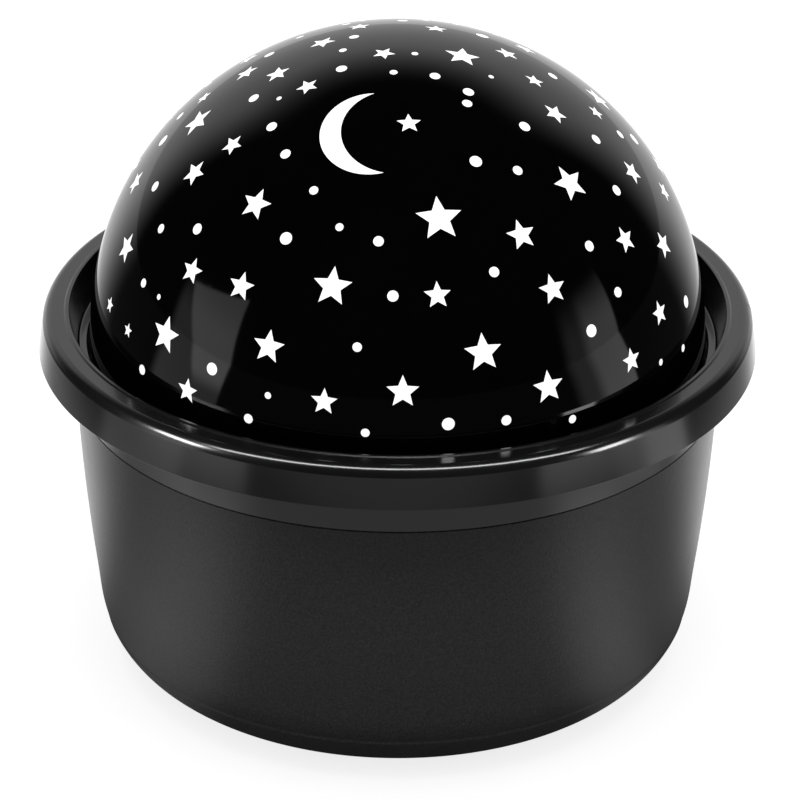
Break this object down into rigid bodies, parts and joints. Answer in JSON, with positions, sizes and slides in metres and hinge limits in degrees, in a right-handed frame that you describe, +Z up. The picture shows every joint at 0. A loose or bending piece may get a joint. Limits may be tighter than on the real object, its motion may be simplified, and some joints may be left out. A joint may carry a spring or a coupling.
{
  "type": "planetarium projector",
  "caption": "Tabletop planetarium projector: a black dome with star, dot and crescent windows that turns over a round bowl base with lamp, geared motor, battery bay and rear buttons.",
  "frame": {"origin": "middle of the footprint, on the table under the rubber feet", "axes": "+Z up along the dome's turning axis, -Y towards the front, +Y towards the rear buttons and power socket, +X to the right"},
  "size_m": [0.13, 0.13, 0.1194],
  "materials": {
    "satin_black": "satin moulded black, fine grain",
    "gloss_rim": "semi-gloss moulded black",
    "dome_black": "high gloss black",
    "milky": "milky translucent",
    "inner_black": "plain moulded black",
    "white_plastic": "white moulded",
    "gear_nylon": "natural nylon",
    "steel": "plated steel",
    "brass": "machined brass",
    "board_green": "solder-masked board",
    "board_white": "white solder-masked board",
    "component_black": "moulded epoxy",
    "led_clear": "clear epoxy",
    "cell_sleeve": "plain printed sleeve",
    "rubber_black": "matt",
    "wire_red": "insulation",
    "wire_black": "insulation",
    "wire_white": "insulation"
  },
  "bodies": {
    "base": {"base_shell": "satin_black", "rim_housing": "gloss_rim", "deck": "inner_black", "thrust_washer": "gear_nylon", "bearing_retainer": "inner_black", "led_post": "white_plastic", "led_board": "board_white", "leds": "led_clear", "reflector": "white_plastic", "gearbox_case": "inner_black", "idler_pin": "steel", "motor_can": "steel", "motor_bracket": "inner_black", "control_board": "board_green", "board_components": "component_black", "tact_switches": "component_black", "usb_socket": "steel", "battery_cells": "cell_sleeve", "battery_contacts": "steel", "rubber_feet": "rubber_black", "housing_screws": "steel", "retainer_screws": "steel", "post_screws": "steel", "gearbox_screws": "steel", "motor_screws": "steel", "board_screws": "steel", "motor_lead_red": "wire_red", "motor_lead_black": "wire_black", "battery_lead_red": "wire_red", "battery_lead_black": "wire_black", "led_leads": "wire_white"},
    "turntable": {"turntable": "inner_black"},
    "dome": {"dome_shell": "dome_black", "dome_diffuser": "milky"},
    "output": {"output_gear": "gear_nylon", "output_shaft": "steel", "drive_pinion": "gear_nylon"},
    "idler": {"idler_gear": "gear_nylon"},
    "rotor": {"motor_shaft": "steel", "motor_pinion": "brass"},
    "button_light": {"button_light": "gloss_rim", "plunger_light": "white_plastic"},
    "button_colour": {"button_colour": "gloss_rim", "plunger_colour": "white_plastic"},
    "button_spin": {"button_spin": "gloss_rim", "plunger_spin": "white_plastic"},
    "battery_door": {"battery_door": "satin_black", "door_screws": "steel"}
  },
  "joints": [
    {"name": "turntable_spin", "type": "hinge", "parent": "base", "child": "turntable", "pos_m": [0, 0, 0.0559], "axis": [0, 0, 1], "continuous": true},
    {"name": "output_spin", "type": "hinge", "parent": "base", "child": "output", "pos_m": [0.0408, 0, 0.0478], "axis": [0, 0, 1], "continuous": true},
    {"name": "idler_spin", "type": "hinge", "parent": "base", "child": "idler", "pos_m": [0.0288, 0, 0.046], "axis": [0, 0, 1], "continuous": true},
    {"name": "motor_spin", "type": "hinge", "parent": "base", "child": "rotor", "pos_m": [0.0168, 0, 0.0443], "axis": [0, 0, 1], "continuous": true},
    {"name": "dome_lift", "type": "slide", "parent": "turntable", "child": "dome", "axis": [0, 0, 1], "range_m": [0, 0.08]},
    {"name": "light_press", "type": "slide", "parent": "base", "child": "button_light", "axis": [0, -1, 0], "range_m": [0, 0.001], "stiffness_N_per_m": 400, "springref_m": -0.0005},
    {"name": "colour_press", "type": "slide", "parent": "base", "child": "button_colour", "axis": [0, -1, 0], "range_m": [0, 0.001], "stiffness_N_per_m": 400, "springref_m": -0.0005},
    {"name": "spin_press", "type": "slide", "parent": "base", "child": "button_spin", "axis": [0, -1, 0], "range_m": [0, 0.001], "stiffness_N_per_m": 400, "springref_m": -0.0005},
    {"name": "door_off", "type": "slide", "parent": "base", "child": "battery_door", "axis": [0, 0, -1], "range_m": [0, 0.03]}
  ],
  "couplings": [
    {"joint": "output_spin", "follows": "turntable_spin", "ratio": -7.5},
    {"joint": "idler_spin", "follows": "turntable_spin", "ratio": 22.5},
    {"joint": "motor_spin", "follows": "turntable_spin", "ratio": -67.5}
  ]
}
